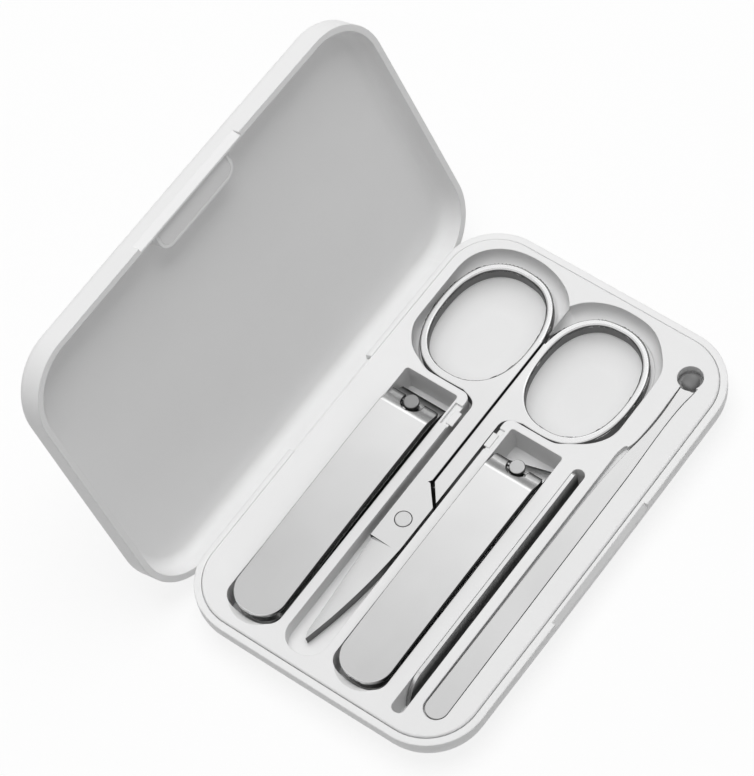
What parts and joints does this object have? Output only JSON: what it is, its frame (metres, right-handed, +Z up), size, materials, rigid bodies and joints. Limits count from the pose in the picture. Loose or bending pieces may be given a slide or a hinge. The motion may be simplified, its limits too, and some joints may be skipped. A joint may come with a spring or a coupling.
{
  "type": "manicure set case",
  "caption": "Rounded rectangular hinged case, shown open, with a moulded tray that holds nail clippers, scissors, a nail file and an ear pick.",
  "frame": {"origin": "centre of the base's flat underside", "axes": "+X along the case's long side, +Y towards the hinge, +Z up; the lid is open"},
  "size_m": [0.112, 0.1026, 0.071],
  "materials": {
    "case_plastic": "satin white",
    "tray_plastic": "matte white",
    "cover_plastic": "matte white",
    "steel": "polished stainless steel",
    "file_steel": "satin, cross-cut faces",
    "rivet_steel": "satin",
    "pin_steel": "plain",
    "magnet": "nickel plated"
  },
  "bodies": {
    "base": {"base_shell": "case_plastic", "tray": "tray_plastic", "hinge_pin": "pin_steel", "base_magnet": "magnet"},
    "lid": {"lid_shell": "case_plastic", "lid_magnet": "magnet", "magnet_cover": "cover_plastic"},
    "scissors_pivot": {"scissors_rivet": "rivet_steel"},
    "scissors_upper": {"scissors_upper_half": "steel"},
    "scissors_lower": {"scissors_lower_half": "steel"},
    "file": {"nail_file": "file_steel"},
    "pick": {"ear_pick": "steel"},
    "straight_clipper": {"straight_clipper_lower_arm": "steel", "straight_clipper_rear_rivet": "rivet_steel", "straight_clipper_pin": "rivet_steel"},
    "straight_clipper_jaw": {"straight_clipper_upper_arm": "steel"},
    "straight_clipper_lever_body": {"straight_clipper_lever": "steel"},
    "slant_clipper": {"slant_clipper_lower_arm": "steel", "slant_clipper_rear_rivet": "rivet_steel", "slant_clipper_pin": "rivet_steel"},
    "slant_clipper_jaw": {"slant_clipper_upper_arm": "steel"},
    "slant_clipper_lever_body": {"slant_clipper_lever": "steel"}
  },
  "joints": [
    {"name": "lid_hinge", "type": "hinge", "parent": "base", "child": "lid", "pos_m": [0, 0.0338, 0.007], "axis": [-1, 0, 0], "range_deg": [-111, 0]},
    {"name": "straight_clipper_lift", "type": "slide", "parent": "base", "child": "straight_clipper", "axis": [0, 0, 1], "range_m": [0, 0.04]},
    {"name": "straight_clipper_squeeze", "type": "hinge", "parent": "straight_clipper", "child": "straight_clipper_jaw", "pos_m": [-0.046, 0.01915, 0.00608], "axis": [0, 1, 0], "range_deg": [0, 1.15], "stiffness_Nm_per_rad": 0.6},
    {"name": "straight_clipper_lever_tilt", "type": "hinge", "parent": "straight_clipper", "child": "straight_clipper_lever_body", "pos_m": [0.0084, 0.01915, 0.01055], "axis": [0, 1, 0], "range_deg": [0, 12]},
    {"name": "slant_clipper_lift", "type": "slide", "parent": "base", "child": "slant_clipper", "axis": [0, 0, 1], "range_m": [0, 0.04]},
    {"name": "slant_clipper_squeeze", "type": "hinge", "parent": "slant_clipper", "child": "slant_clipper_jaw", "pos_m": [-0.046, -0.0083, 0.00561], "axis": [0, 1, 0], "range_deg": [0, 1.15], "stiffness_Nm_per_rad": 0.6},
    {"name": "slant_clipper_lever_tilt", "type": "hinge", "parent": "slant_clipper", "child": "slant_clipper_lever_body", "pos_m": [0.0083, -0.0083, 0.00962], "axis": [0, 1, 0], "range_deg": [0, 12]},
    {"name": "scissors_lift", "type": "slide", "parent": "base", "child": "scissors_pivot", "axis": [0, 0, 1], "range_m": [0, 0.09]},
    {"name": "scissors_upper_turn", "type": "hinge", "parent": "scissors_pivot", "child": "scissors_upper", "pos_m": [-0.01409, 0.00521, 0.0075], "axis": [0, 0, 1], "range_deg": [0, 18.05]},
    {"name": "scissors_lower_turn", "type": "hinge", "parent": "scissors_pivot", "child": "scissors_lower", "pos_m": [-0.01409, 0.00521, 0.0075], "axis": [0, 0, -1], "range_deg": [0, 18.05]},
    {"name": "file_lift", "type": "slide", "parent": "base", "child": "file", "axis": [0, 0, 1], "range_m": [0, 0.04]},
    {"name": "pick_lift", "type": "slide", "parent": "base", "child": "pick", "axis": [0, 0, 1], "range_m": [0, 0.03]}
  ],
  "couplings": [
    {"joint": "scissors_upper_turn", "follows": "scissors_lift", "rad_per_m": 3.4907},
    {"joint": "scissors_lower_turn", "follows": "scissors_lift", "rad_per_m": 3.4907}
  ]
}
